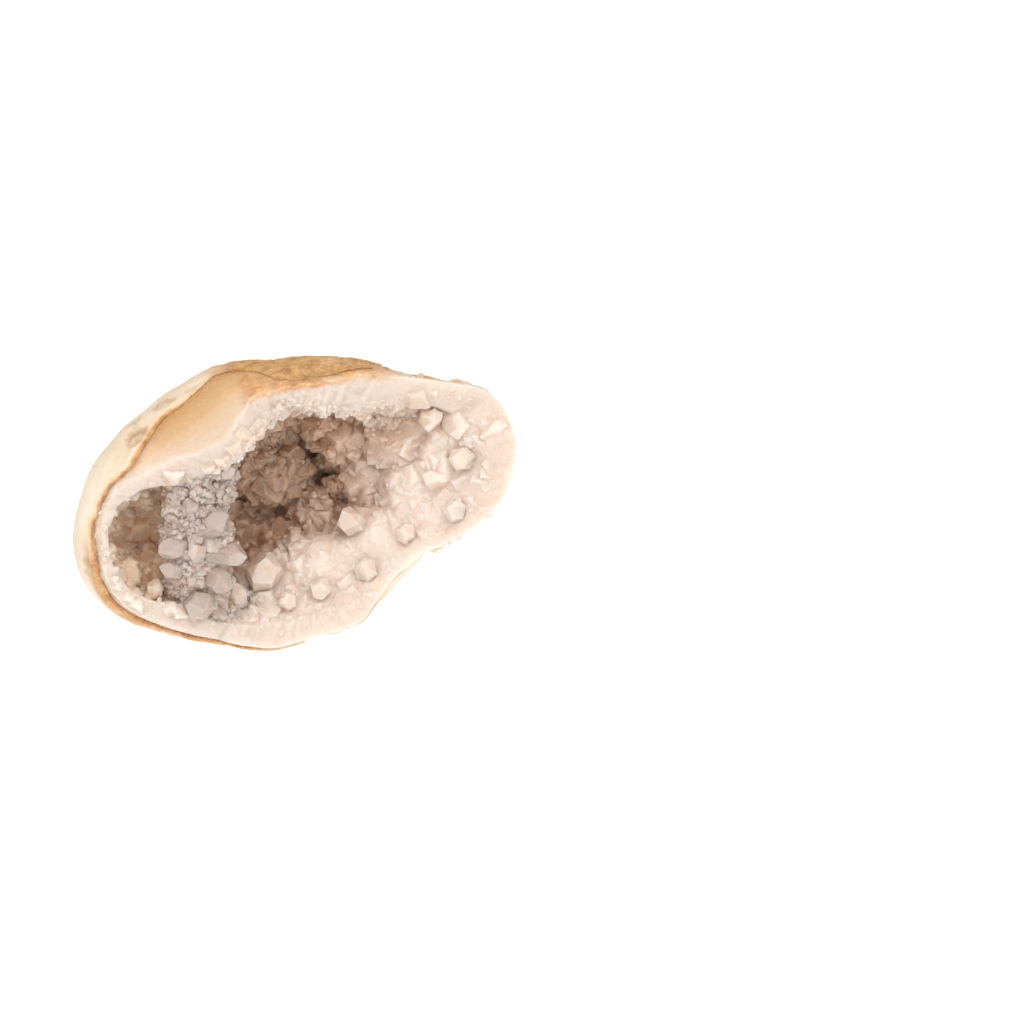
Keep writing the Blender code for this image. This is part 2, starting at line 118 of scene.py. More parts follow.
MOUNDS = (
    (-6.0, 7.5, 21.5, 8.5), (8.5, 15.0, 12.0, 6.0), (20.0, 14.5, 11.0, 7.0), (14.0, 6.5, 17.5, 6.5),
    (24.0, 4.0, 15.5, 9.0), (3.0, -3.0, 20.0, 6.0), (31.0, 10.0, 10.5, 8.0), (16.0, -8.5, 16.5, 9.5),
    (4.0, -14.5, 14.5, 9.0), (-8.0, -16.0, 14.0, 6.0), (-31.0, -3.0, 14.5, 6.5), (-28.0, -15.0, 9.5, 5.5),
    (-15.0, 10.0, 16.5, 7.0),
)
CURTAIN = (
    (-15.5, 13.5, -9.0, 5.0, 5.2), (-17.0, 8.5, -7.5, 5.0, 4.6), (-18.5, 4.0, -6.0, 5.0, 4.2),
    (-19.5, -1.0, -4.5, 5.2, 4.0), (-19.8, -6.0, -3.0, 6.0, 4.2), (-19.5, -11.0, -1.0, 5.6, 4.6),
    (-19.5, -16.5, 2.0, 5.4, 5.2), (-19.5, -22.0, 5.0, 5.6, 5.6),
)


def ring_value(table, angle_deg):
    t = np.asarray(table, float)
    n = len(t)
    x = np.mod(np.asarray(angle_deg, float), 360.0) / 360.0 * n
    i = np.floor(x).astype(int)
    f = x - i
    a, b, c, d = t[(i - 1) % n], t[i % n], t[(i + 1) % n], t[(i + 2) % n]
    return 0.5 * (2 * b + (c - a) * f + (2 * a - 5 * b + 4 * c - d) * f**2 + (3 * b - a - 3 * c + d) * f**3)


_R = np.random.RandomState(11)
_PERM = np.concatenate([_R.permutation(256)] * 3)
_GRAD = _R.normal(size=(256, 3))
_GRAD /= np.linalg.norm(_GRAD, axis=1)[:, None]


def lumps(p, size, seed=0):
    """Smooth three-dimensional noise from -1 to 1 with features about `size` across."""
    q = np.asarray(p, float) / size + seed * 17.31
    i = np.floor(q).astype(int)
    f = q - i
    s = f * f * f * (f * (f * 6 - 15) + 10)
    total = np.zeros(len(q))
    for cx in (0, 1):
        for cy in (0, 1):
            for cz in (0, 1):
                h = _PERM[(_PERM[(_PERM[(i[:, 0] + cx) & 255] + i[:, 1] + cy) & 255] + i[:, 2] + cz) & 255]
                d = ((f - (cx, cy, cz)) * _GRAD[h]).sum(1)
                w = (
                    (s[:, 0] if cx else 1 - s[:, 0])
                    * (s[:, 1] if cy else 1 - s[:, 1])
                    * (s[:, 2] if cz else 1 - s[:, 2])
                )
                total += w * d
    return total * 1.6


def step(x, low, high):
    t = np.clip((x - low) / (high - low), 0, 1)
    return t * t * (3 - 2 * t)


def smooth_outer(d):
    """The body's outside in the directions d, without its fine relief, as in the CAD part."""
    angle = np.degrees(np.arctan2(d[:, 1], d[:, 0]))
    side = np.hypot(d[:, 0], d[:, 1])
    back = d[:, 2] > 0
    behind = np.clip((d[:, 2] - 0.25) / 0.5, 0, 1)
    radius = ring_value(OUTLINE, angle) * (1 - behind) + ring_value(ROUNDED_OUTLINE, angle) * behind
    depth = np.where(back, ring_value(BACK_DEPTH, angle), FRONT_DEPTH)
    power = np.where(back, ring_value(BACK_POWER, angle), FRONT_POWER)
    t = ((side / radius) ** power + (np.abs(d[:, 2]) / depth) ** power) ** (-1.0 / power)
    p = d * t[:, None]
    away = np.clip(np.abs(d[:, 2]) / 0.45, 0, 1)
    swell = 1.5 * lumps(p, 19.0, 1) + 0.7 * lumps(p, 8.5, 2)
    p = p + d * (swell * (0.12 + 0.88 * away * back))[:, None]
    c, s = math.cos(math.radians(LEAN)), math.sin(math.radians(LEAN))
    height = p[:, 1] * c - p[:, 2] * s - (FLAT - 0.7 * FLAT_ROUND)
    lift = FLAT_ROUND * np.logaddexp(0.0, height / FLAT_ROUND) - height
    return p + lift[:, None] * np.array((0.0, c, -s))


def hollow_field(p):
    total = np.zeros(len(p))
    for centre, semi, turn in HOLLOW:
        q = p - np.array(centre)
        c, s = math.cos(math.radians(turn)), math.sin(math.radians(turn))
        q = np.stack([q[:, 0] * c + q[:, 1] * s, -q[:, 0] * s + q[:, 1] * c, q[:, 2]], 1)
        away = (np.linalg.norm(q / np.array(semi), axis=1) - 1) * min(semi)
        total += np.exp(-np.clip(away, -60, 60) / HOLLOW_BLEND)
    field = -HOLLOW_BLEND * np.log(total)
    for u, v, w, r in MOUNDS:
        inside = r - np.linalg.norm(p - np.array((u, v, w)), axis=1)
        k = 0.8
        h = np.clip(0.5 + 0.5 * (inside - field) / k, 0, 1)
        field = field * (1 - h) + inside * h + k * h * (1 - h)
    return field


def hollow_points(d):
    centre = np.array(HOLLOW_CENTRE)
    steps = np.arange(2.0, 64.0, 0.5)
    found = np.full(len(d), steps[-1])
    open_ = np.ones(len(d), bool)
    for t in steps:
        alive = np.nonzero(open_)[0]
        if not len(alive):
            break
        hit = hollow_field(centre + d[alive] * t) > 0
        found[alive[hit]] = t
        open_[alive[hit]] = False
    low, high = found - 0.5, found.copy()
    for _ in range(9):
        mid = (low + high) / 2
        out = hollow_field(centre + d * mid[:, None]) > 0
        high = np.where(out, mid, high)
        low = np.where(out, low, mid)
    return centre + d * high[:, None]


def break_depth(tables, angle, share, inner_slope):
    radius = ring_value(OUTLINE, angle)
    edge = np.clip(ring_value(tables[0], angle), 0.3, 1.0)
    at_edge = -FRONT_DEPTH * (1 - edge**FRONT_POWER) ** (1 / FRONT_POWER) + np.maximum(ring_value(tables[1], angle), 0)
    beyond = np.clip((1 - edge) / 0.06, 0, 1) * 0.5
    run = (edge - share) * radius
    return at_edge + np.where(run > 0, inner_slope * np.minimum(run, 14.0), beyond * run)


def to_frame(points):
    p = np.asarray(points, float).reshape(-1, 3)
    c, s = math.cos(math.radians(LEAN)), math.sin(math.radians(LEAN))
    x, y, z = p[:, 0], p[:, 2] * c + p[:, 1] * s, p[:, 1] * c - p[:, 2] * s
    return (np.stack([x, y, z], 1) + np.array(ORIGIN)) / 1000.0


def turned(directions):
    """Directions of the body as directions of the part's frame."""
    return (to_frame(directions) - to_frame([(0, 0, 0)])) * 1000.0


def to_body(points):
    q = np.asarray(points, float).reshape(-1, 3) * 1000.0 - np.array(ORIGIN)
    c, s = math.cos(math.radians(LEAN)), math.sin(math.radians(LEAN))
    return np.stack([q[:, 0], q[:, 1] * s + q[:, 2] * c, q[:, 1] * c - q[:, 2] * s], 1)


# ---------------------------------------------------------------- mesh helpers
def sphere_directions(level):
    bm = bmesh.new()
    bmesh.ops.create_icosphere(bm, subdivisions=level, radius=1.0)
    points = np.array([v.co for v in bm.verts])
    faces = np.array([[v.index for v in f.verts] for f in bm.faces])
    bm.free()
    return points / np.linalg.norm(points, axis=1)[:, None], faces


def mesh_object(name, points, faces):
    """A mesh in the part's frame from body points in millimetres. The body's axes are left-handed, so faces turn round."""
    mesh = bpy.data.meshes.new(name)
    faces = faces.tolist() if isinstance(faces, np.ndarray) else faces
    mesh.from_pydata(to_frame(points).tolist(), [], [f[::-1] for f in faces])
    obj = bpy.data.objects.new(name, mesh)
    bpy.context.scene.collection.objects.link(obj)
    return obj


def outward(obj):
    bm = bmesh.new()
    bm.from_mesh(obj.data)
    bmesh.ops.recalc_face_normals(bm, faces=bm.faces)
    bm.to_mesh(obj.data)
    bm.free()


def carve(obj, cutters, how="DIFFERENCE"):
    """Applies the cuts, or the joins, to obj's mesh and removes the cutters."""
    for cutter in cutters:
        m = obj.modifiers.new("cut", "BOOLEAN")
        m.operation, m.solver, m.object = how, "MANIFOLD", cutter
    bpy.context.view_layer.update()
    graph = bpy.context.evaluated_depsgraph_get()
    mesh = bpy.data.meshes.new_from_object(obj.evaluated_get(graph))
    obj.modifiers.clear()
    obj.data = mesh
    for cutter in cutters:
        bpy.data.objects.remove(cutter)
    return obj


def coordinates(mesh):
    co = np.empty(len(mesh.vertices) * 3, np.float32)
    mesh.vertices.foreach_get("co", co)
    return co.reshape(-1, 3).astype(float)


def attribute(mesh, name, values, kind="FLOAT"):
    a = mesh.attributes.new(name, kind, "POINT")
    key = "value" if kind == "FLOAT" else "vector"
    a.data.foreach_set(key, np.asarray(values, np.float32).ravel())


def granular(angle):
    """1 where the crust is rough and rusty along the top of the break."""
    return angle_window(angle, 60, 108, 12)


def fracture_height(p_angle, share, tables, slope, seed):
    """The broken surface's depth, with its rough relief."""
    radius = ring_value(OUTLINE, p_angle)
    w = break_depth(tables, p_angle, share, slope)
    u, v = radius * share * np.cos(np.radians(p_angle)), radius * share * np.sin(np.radians(p_angle))
    q = np.stack([u, v, w], 1)
    w = w + 0.8 * lumps(q, 9.0, seed) + 0.45 * lumps(q, 4.0, seed + 1)
    flat = np.stack([u, v, np.zeros_like(u)], 1)
    w = w + granular(p_angle) * (0.35 * lumps(flat, 1.7, 64) + 0.25 * lumps(flat, 0.9, 65))
    arc = np.radians(p_angle) * 33.0
    columns = np.stack([arc, radius * share * 0.16, np.zeros_like(arc)], 1)
    fine = 0.20 * lumps(columns, 1.5, 61) + 0.12 * lumps(columns, 0.7, 62) + 0.10 * lumps(flat, 1.1, 63)
    return u, v, w + fine


def fracture_cutter(name, tables, slope, seed, around, rings):
    shares = np.concatenate([np.linspace(0.30, 1.06, rings), [1.12, 1.3]])
    angles = np.arange(around) * 360.0 / around
    a, s = np.meshgrid(angles, shares)
    u, v, w = fracture_height(a.ravel(), s.ravel(), tables, slope, seed)
    points = np.stack([u, v, w], 1)
    front = points[-around:].copy()
    front[:, 2] = -70.0
    points = np.concatenate([points, front, [[0, 0, w[:around].mean()], [0, 0, -70.0]]])
    rows = len(shares) + 1
    r, k = np.meshgrid(np.arange(rows - 1), np.arange(around), indexing="ij")
    r, k = r.ravel(), k.ravel()
    m = (k + 1) % around
    quads = np.stack([r * around + k, (r + 1) * around + k, (r + 1) * around + m, r * around + m], 1)
    k = np.arange(around)
    m = (k + 1) % around
    back = np.stack([k, m, np.full(around, len(points) - 2)], 1)
    top = (rows - 1) * around
    cap = np.stack([top + m, top + k, np.full(around, len(points) - 1)], 1)
    obj = mesh_object(name, points, quads.tolist() + back.tolist() + cap.tolist())
    outward(obj)
    return obj


def floor_cutter():
    bm = bmesh.new()
    bmesh.ops.create_cube(bm, size=0.4)
    bmesh.ops.translate(bm, verts=bm.verts, vec=(0, 0, -0.2 + (FLAT + ORIGIN[2]) / 1000.0))
    mesh = bpy.data.meshes.new("floor_cutter")
    bm.to_mesh(mesh)
    bm.free()
    obj = bpy.data.objects.new("floor_cutter", mesh)
    bpy.context.scene.collection.objects.link(obj)
    return obj


def normals_of(points, faces):
    a, b, c = points[faces[:, 0]], points[faces[:, 1]], points[faces[:, 2]]
    n = np.cross(b - a, c - a)
    out = np.zeros_like(points)
    for k in range(3):
        np.add.at(out, faces[:, k], n)
    return out / np.maximum(np.linalg.norm(out, axis=1), 1e-12)[:, None]


def crust_thickness(points):
    angle = np.degrees(np.arctan2(points[:, 1], points[:, 0]))
    behind = np.clip((points[:, 2] - 4.0) / 10.0, 0, 1)
    return ring_value(RIND, angle) * (1 - behind) + RIND_BEHIND * behind


def polar(p):
    angle = np.degrees(np.arctan2(p[:, 1], p[:, 0]))
    return angle, np.hypot(p[:, 0], p[:, 1]) / ring_value(OUTLINE, angle)


def depth_below(p):
    """How far below the smooth outside each point lies, in millimetres."""
    r = np.linalg.norm(p, axis=1)
    return (np.linalg.norm(smooth_outer(p / r[:, None]), axis=1) - r) * 0.92


def angle_window(angle, low, high, soft):
    """1 between two angles, fading over `soft` degrees outside them."""
    a = np.mod(angle - (low + high) / 2 + 180, 360) - 180
    return 1 - step(np.abs(a), (high - low) / 2, (high - low) / 2 + soft)


# ---------------------------------------------------------------- the crust
directions, sphere = sphere_directions(7)
base = smooth_outer(directions)
out = normals_of(base, sphere)
if np.einsum("ij,ij->i", out, base).mean() < 0:
    out, sphere = -out, sphere[:, ::-1]


def flake_mask(p):
    return step(lumps(p, 16.0, 31) + 0.45 * lumps(p, 5.0, 32) + 0.15 * lumps(p, 1.6, 33), 0.22, 0.30)


flake = flake_mask(base)
grain = np.clip(1.0 - flake, 0, 1)
relief = 0.22 * lumps(base, 5.5, 21) + 0.10 * lumps(base, 2.4, 22) + 0.05 * lumps(base, 1.1, 23)
relief -= flake * (0.42 + 0.12 * lumps(base, 1.3, 24) + 0.22 * step(lumps(base, 2.6, 25), 0.25, 0.5))
body_angle = np.degrees(np.arctan2(base[:, 1], base[:, 0]))
rough_top = angle_window(body_angle, 58, 112, 16) * (1 - step(base[:, 2], -2, 8))
relief += rough_top * (0.20 * lumps(base, 1.5, 26) + 0.16 * lumps(base, 0.8, 27))
standing = step(base[:, 1] * math.cos(math.radians(LEAN)) - base[:, 2] * math.sin(math.radians(LEAN)), FLAT + 0.4, FLAT + 2.0)
crust = mesh_object("crust", base + out * (relief * standing)[:, None], sphere)
core_level, core_faces = sphere_directions(6)
core_base = smooth_outer(core_level)
core_out = normals_of(core_base, core_faces)
if np.einsum("ij,ij->i", core_out, core_base).mean() < 0:
    core_out, core_faces = -core_out, core_faces[:, ::-1]
inner = core_base - core_out * crust_thickness(core_base)[:, None]
core = mesh_object("core", inner, core_faces)
around, rings = ((440, 66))
carve(
    crust,
    [
        core,
        fracture_cutter("crust_break", (CRUST_EDGE, CRUST_BACK), 0.30, 3, around, rings),
        floor_cutter(),
    ],
)
p = to_body(coordinates(crust.data))
angle, share = polar(p)
depth = depth_below(p)
_, _, height = fracture_height(angle, share, (CRUST_EDGE, CRUST_BACK), 0.30, 3)
attribute(crust.data, "broken", 1 - step(np.abs(p[:, 2] - height), 0.05, 0.30))
attribute(crust.data, "flake", flake_mask(p))
attribute(crust.data, "seam", step(depth / crust_thickness(p), 0.30, 0.80) * (1 - angle_window(angle, 40, 132, 12)) * (1 - angle_window(angle, 262, 380, 10)))
depth_in = p[:, 2] - height
rust = angle_window(angle, 60, 112, 18) * (1 - step(p[:, 2], -4, 9))
rust = np.maximum(rust, angle_window(angle, 198, 246, 12) * (1 - step(depth_in, 0.5, 3.0)) * 0.8)
rust = np.maximum(rust, step(lumps(p, 24.0, 41), 0.15, 0.55) * step(p[:, 2], 6, 14))
attribute(crust.data, "rust", np.clip(rust, 0, 1))
crust.data.shade_smooth()
crust.data.set_sharp_from_angle(angle=math.radians(50))

# ---------------------------------------------------------------- the quartz wall
skin = core_base - core_out * (crust_thickness(core_base) + 0.06)[:, None]
ripple = 0.10 * lumps(core_base, 6.0, 51) + 0.05 * lumps(core_base, 2.2, 52)
wall = mesh_object("wall_base", skin + core_out * np.minimum(ripple, 0.04)[:, None], core_faces)
cave_dirs, cave_faces = sphere_directions(6)
cave = hollow_points(cave_dirs)
cave_out = normals_of(cave, cave_faces)
if np.einsum("ij,ij->i", cave_out, cave - np.array(HOLLOW_CENTRE)).mean() < 0:
    cave_out, cave_faces = -cave_out, cave_faces[:, ::-1]
cave = cave + cave_out * (0.35 * lumps(cave, 3.4, 53) + 0.22 * lumps(cave, 1.6, 54))[:, None]
carve(
    wall,
    [
        fracture_cutter("wall_break", (QUARTZ_EDGE, QUARTZ_BACK), 0.22, 5, around, rings),
        mesh_object("cave", cave, cave_faces),
        floor_cutter(),
    ],
)

# ---------------------------------------------------------------- crystals
def crystal_variant(seed, aspect):
    """A quartz point one unit wide with its foot below the origin: (points, triangles)."""
    r = np.random.RandomState(seed)
    tilt = math.radians(51.8)
    planes = []
    for k in range(6):
        a = math.radians(60 * k) + 0.02 * r.normal()
        planes.append((math.cos(a), math.sin(a), 0.0, 0.5 * (1 + 0.22 * r.uniform(-1, 1))))
    reach = aspect * math.cos(tilt)
    for k in range(6):
        a = math.radians(60 * k)
        more = (0.0 if k % 2 == 0 else 0.12) + 0.10 * r.uniform(0, 1)
        planes.append((math.sin(tilt) * math.cos(a), math.sin(tilt) * math.sin(a), math.cos(tilt), reach + more))
    planes.append((0.0, 0.0, -1.0, 0.2))
    planes = np.array(planes)
    corners = []
    for i in range(len(planes)):
        for j in range(i + 1, len(planes)):
            for k in range(j + 1, len(planes)):
                m = planes[[i, j, k], :3]
                if abs(np.linalg.det(m)) < 1e-6:
                    continue
                q = np.linalg.solve(m, planes[[i, j, k], 3])
                if (planes[:, :3] @ q <= planes[:, 3] + 1e-6).all():
                    if not any(np.linalg.norm(q - o) < 1e-4 for o in corners):
                        corners.append(q)
    bm = bmesh.new()
    for q in corners:
        bm.verts.new(q)
    bmesh.ops.convex_hull(bm, input=bm.verts)
    bm.verts.index_update()
    points = np.array([v.co for v in bm.verts])
    faces = np.array([[v.index for v in f.verts] for f in bm.faces])
    bm.free()
    return points, faces


VARIANTS = [crystal_variant(300 + k, 0.58 + 0.06 * (k % 8)) for k in range(24)]
TOPS = np.array([p[:, 2].max() for p, _ in VARIANTS])


def frames(direction, spin):
    """Rotation matrices that take +Z to each direction, with a spin about it."""
    z = direction / np.linalg.norm(direction, axis=1)[:, None]
    help_ = np.where(np.abs(z[:, 2:3]) < 0.9, np.array([[0.0, 0, 1]]), np.array([[1.0, 0, 0]]))
    x = np.cross(help_, z)
    x /= np.linalg.norm(x, axis=1)[:, None]
    y = np.cross(z, x)
    c, s = np.cos(spin)[:, None], np.sin(spin)[:, None]
    return np.stack([x * c + y * s, -x * s + y * c, z], 2)


def grow(name, base, feet, directions_, widths, picks, seed):
    """Base and crystals joined as one closed mesh, each crystal one of the variants on its foot."""
    r = np.random.RandomState(seed)
    group = bpy.data.collections.new("variants")
    bpy.context.scene.collection.children.link(group)
    for k, (points, faces) in enumerate(VARIANTS):
        mesh = bpy.data.meshes.new(f"variant{k:02d}")
        mesh.from_pydata(points.tolist(), [], faces.tolist())
        mesh.attributes.new("tone", "FLOAT", "FACE").data.foreach_set("value", r.uniform(0, 1, len(faces)).astype(np.float32))
        group.objects.link(bpy.data.objects.new(f"variant{k:02d}", mesh))
        outward(group.objects[-1])
    base.data.attributes.new("tone", "FLOAT", "FACE").data.foreach_set("value", np.full(len(base.data.polygons), 0.5, np.float32))
    mesh = bpy.data.meshes.new(name + "_feet")
    mesh.from_pydata(to_frame(feet).tolist(), [], [])
    turns = frames(turned(directions_), r.uniform(0, 6.28, len(feet)))
    attribute(mesh, "turn", [tuple(Matrix(t.tolist()).to_euler()) for t in turns], "FLOAT_VECTOR")
    attribute(mesh, "width", np.asarray(widths) / 1000.0)
    mesh.attributes.new("pick", "INT", "POINT").data.foreach_set("value", np.asarray(picks, np.int32))
    obj = bpy.data.objects.new(name, mesh)
    bpy.context.scene.collection.objects.link(obj)
    tree = bpy.data.node_groups.new("grow", "GeometryNodeTree")
    tree.interface.new_socket("Geometry", in_out="INPUT", socket_type="NodeSocketGeometry")
    tree.interface.new_socket("Geometry", in_out="OUTPUT", socket_type="NodeSocketGeometry")
    new, link = tree.nodes.new, tree.links.new

    def read(attribute_name, kind):
        node = new("GeometryNodeInputNamedAttribute")
        node.data_type = kind
        node.inputs[0].default_value = attribute_name
        return node.outputs["Attribute"]

    points_, place, join = new("GeometryNodeMeshToPoints"), new("GeometryNodeInstanceOnPoints"), new("GeometryNodeMeshBoolean")
    source, stone, euler = new("GeometryNodeCollectionInfo"), new("GeometryNodeObjectInfo"), new("FunctionNodeEulerToRotation")
    source.inputs[0].default_value = group
    source.inputs["Separate Children"].default_value = True
    source.inputs["Reset Children"].default_value = True
    stone.inputs["Object"].default_value = base
    place.inputs["Pick Instance"].default_value = True
    join.operation, join.solver = "UNION", "MANIFOLD"
    link(new("NodeGroupInput").outputs[0], points_.inputs[0])
    link(points_.outputs[0], place.inputs["Points"])
    link(source.outputs[0], place.inputs["Instance"])
    link(read("pick", "INT"), place.inputs["Instance Index"])
    link(read("turn", "FLOAT_VECTOR"), euler.inputs[0])
    link(euler.outputs[0], place.inputs["Rotation"])
    link(read("width", "FLOAT"), place.inputs["Scale"])
    link(stone.outputs["Geometry"], join.inputs[1])
    link(place.outputs[0], join.inputs[1])
    link(join.outputs[0], new("NodeGroupOutput").inputs[0])
    obj.modifiers.new("grow", "NODES").node_group = tree
    bpy.context.view_layer.update()
    graph = bpy.context.evaluated_depsgraph_get()
    grown = bpy.data.meshes.new_from_object(obj.evaluated_get(graph))
    obj.modifiers.clear()
    obj.data = grown
    bpy.data.objects.remove(base)
    for o in list(group.objects):
        bpy.data.objects.remove(o)
    bpy.data.collections.remove(group)
    grown.shade_smooth()
    grown.set_sharp_from_angle(angle=math.radians(24))
    return obj


def scatter(points, faces, count, size_of, seed, packing=0.62):
    """Spread points over a mesh, each as far from the last as its crystal is wide: (points, normals, sizes)."""
    r = np.random.RandomState(seed)
    a, b, c = points[faces[:, 0]], points[faces[:, 1]], points[faces[:, 2]]
    n = np.cross(b - a, c - a)
    area = np.linalg.norm(n, axis=1)
    n = n / np.maximum(area, 1e-12)[:, None]
    pick = r.choice(len(faces), count, p=area / area.sum())
    s, t = r.uniform(size=count), r.uniform(size=count)
    flip = s + t > 1
    s[flip], t[flip] = 1 - s[flip], 1 - t[flip]
    q = a[pick] + (b - a)[pick] * s[:, None] + (c - a)[pick] * t[:, None]
    size = size_of(q, r)
    order = np.argsort(-size * r.uniform(0.75, 1.0, count))
    q, size, normal = q[order], size[order], n[pick][order]
    good = size > 0
    q, size, normal = q[good], size[good], normal[good]
    cell = 1.2
    grid = {}
    keep = []
    keys = np.floor(q / cell).astype(int)
    for i in range(len(q)):
        kx, ky, kz = keys[i]
        ok = True
        x, y, z = q[i]
        for ax in (-1, 0, 1):
            for ay in (-1, 0, 1):
                for az in (-1, 0, 1):
                    for j in grid.get((kx + ax, ky + ay, kz + az), ()):
                        d = packing * 0.5 * (size[i] + size[j])
                        o = q[j]
                        if (o[0] - x) ** 2 + (o[1] - y) ** 2 + (o[2] - z) ** 2 < d * d:
                            ok = False
                            break
                    if not ok:
                        break
                if not ok:
                    break
            if not ok:
                break
        if ok:
            keep.append(i)
            grid.setdefault((kx, ky, kz), []).append(i)
    return q[keep], normal[keep], size[keep]


def triangles(mesh):
    """The mesh's points in the body, and its triangles, turned round for the body's left-handed axes."""
    mesh.calc_loop_triangles()
    found = np.empty(len(mesh.loop_triangles) * 3, np.int32)
    mesh.loop_triangles.foreach_get("vertices", found)
    return to_body(coordinates(mesh)), found.reshape(-1, 3)[:, ::-1]


def above_break(p):
    """How far each point stands in front of the broken face, in millimetres."""
    angle, share = polar(p)
    return fracture_height(angle, share, (QUARTZ_EDGE, QUARTZ_BACK), 0.22, 5)[2] - p[:, 2]


def on_slope(p):
    """1 on the wide broken slope low on the right."""
    angle, _ = polar(p)
    return angle_window(angle, -78, 34, 10)


def on_band(p):
    """1 on the narrow broken band along the left and the foot."""
    angle, _ = polar(p)
    return angle_window(angle, 158, 286, 8)


def grown_faces(p, tri, reach):
    """The triangles on which crystals grow."""
    mid = p[tri].mean(1)
    _, share = polar(mid)
    front = above_break(mid)
    hollow = (hollow_field(mid) < 1.1) & (front < 0.3)
    face = (np.abs(front) < 0.25 + reach) & (hollow_field(mid) > -1.0)
    wide = face & (on_slope(mid) > 0.5) & (share < 0.985)
    narrow = face & (on_band(mid) > 0.5) & (share < 0.93)
    return hollow | wide | narrow


def tips(normal, r, spread):
    d = normal + r.normal(0, spread, normal.shape)
    return d / np.linalg.norm(d, axis=1)[:, None]


def fitting(q, size):
    """Sizes held to what the stone has room for, so that no crystal comes out at the back or in front of the band."""
    room = depth_below(q) - crust_thickness(q)
    size = np.minimum(size, 1.05 * np.maximum(room, 0.0) + 0.25)
    behind = np.maximum(-above_break(q), 0.0)
    return np.where(on_slope(q) > 0.5, size, np.where(on_band(q) > 0.5, np.minimum(size, 1.5 * behind + 1.5), np.minimum(size, 1.5 * behind + 0.8)))


def gentle(q):
    """1 where the druse is worn low: on the wide slope, and beside the mouth along the left and the foot."""
    behind = -above_break(q)
    return np.maximum(on_slope(q) * (1 - step(behind, 5.0, 11.0)), on_band(q) * (1 - step(behind, 1.0, 4.0)))


def held(q, size, pick, stand):
    """Sizes cut down so that no crystal's foot comes out through the far side of the stone."""
    room = depth_below(q) - crust_thickness(q)
    return np.minimum(size, np.maximum(room - 0.1, 0.1) / np.hypot(TOPS[pick] - stand + 0.2, 0.55))


def large_size(q, r):
    size = np.clip((3.4 + 1.5 * lumps(q, 8.0, 71)) * np.exp(r.normal(0, 0.28, len(q))), 1.3, 6.0)
    size = size * (1 + 0.25 * gentle(q))
    size = fitting(q, size)
    return np.where(size > 0.7, size, 0.0)


def small_size(q, r):
    size = np.clip(1.05 * np.exp(r.normal(0, 0.30, len(q))), 0.55, 1.9)
    front = above_break(q)
    inner = step(-front, 1.0, 5.0)
    mouth = 1 - step(np.abs(front + 1.2), 0.8, 2.6)
    patch = lumps(q, 7.5, 75) + 0.5 * lumps(q, 3.0, 76) + 0.30 * mouth * (1 - on_slope(q)) * (1 - on_band(q))
    kept = (patch > 0.42 - 0.16 * inner + 0.30 * gentle(q)) | (r.uniform(size=len(q)) < 0.04)
    return np.where(kept & (fitting(q, size) > 0.5), np.minimum(size, fitting(q, size)), 0.0)


MERGED = ("crystal_slope_mid", "crystal_slope_right", "crystal_slope_end", "crystal_slope_low", "crystal_roof_mid",
          "crystal_roof_right", "crystal_roof_end", "crystal_back_mid", "crystal_back_low", "crystal_left_low",
          "crystal_left_high", "crystal_floor_left", "crystal_floor_low", "crystal_floor_right")
copies = []
for name in MERGED:
    bm = bmesh.new()
    bm.from_mesh(frame["nodes"][name].data)
    bmesh.ops.remove_doubles(bm, verts=bm.verts, dist=1e-6)
    bmesh.ops.recalc_face_normals(bm, faces=bm.faces)
    mesh = bpy.data.meshes.new(name + "_copy")
    bm.to_mesh(mesh)
    bm.free()
    mesh.materials.clear()
    copies.append(bpy.data.objects.new(name + "_copy", mesh))
    bpy.context.scene.collection.objects.link(copies[-1])
carve(wall, copies, "UNION")
wall_p, tri = triangles(wall.data)
print("volume", np.linalg.det(wall_p[tri]).sum() / 6)
named = [to_body([sum(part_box(n), Vector((0, 0, 0))) / 2])[0] for n in frame["nodes"] if n.startswith("crystal_")]
wide = [min((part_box(n)[1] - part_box(n)[0])) * 500 for n in frame["nodes"] if n.startswith("crystal_")]
feet, normal, size = scatter(wall_p, tri[grown_faces(wall_p, tri, 0.0)], 9000, large_size, 81, 0.50)
clear = np.min([np.linalg.norm(feet - c_, axis=1) - 0.85 * w_ - 0.15 * size for c_, w_ in zip(named, wide)], 0) > 0
feet, normal, size = feet[clear], normal[clear], size[clear]
r = np.random.RandomState(82)
pick = r.randint(0, len(VARIANTS), len(feet))
low_relief = gentle(feet)
stand = r.uniform(0.18, 0.58, len(feet)) * (1 - low_relief) + r.uniform(0.05, 0.20, len(feet)) * low_relief
size = held(feet, size, pick, stand)
direction = tips(normal, r, 0.30)
feet = feet - direction * (size * (TOPS[pick] - stand))[:, None]
print("large crystals", len(feet), "wall triangles", len(tri))
quartz = grow("quartz_large", wall, feet, direction, size, pick, 84)
wall_p, tri = triangles(quartz.data)
print("triangles", len(tri))
feet, normal, size = scatter(wall_p, tri[grown_faces(wall_p, tri, 1.2)], 16000, small_size, 85, 0.60)
r = np.random.RandomState(86)
pick = r.randint(0, len(VARIANTS), len(feet))
near = gentle(feet)
stand = r.uniform(0.20, 0.70, len(feet)) * (1 - near) + r.uniform(0.08, 0.30, len(feet)) * near
size = held(feet, size, pick, stand)
direction = tips(normal, r, 0.40)
feet = feet - direction * (size * (TOPS[pick] - stand))[:, None]
print("small crystals", len(feet))
quartz = grow("quartz_body", quartz, feet, direction, size, pick, 87)
print("triangles", len(triangles(quartz.data)[1]))

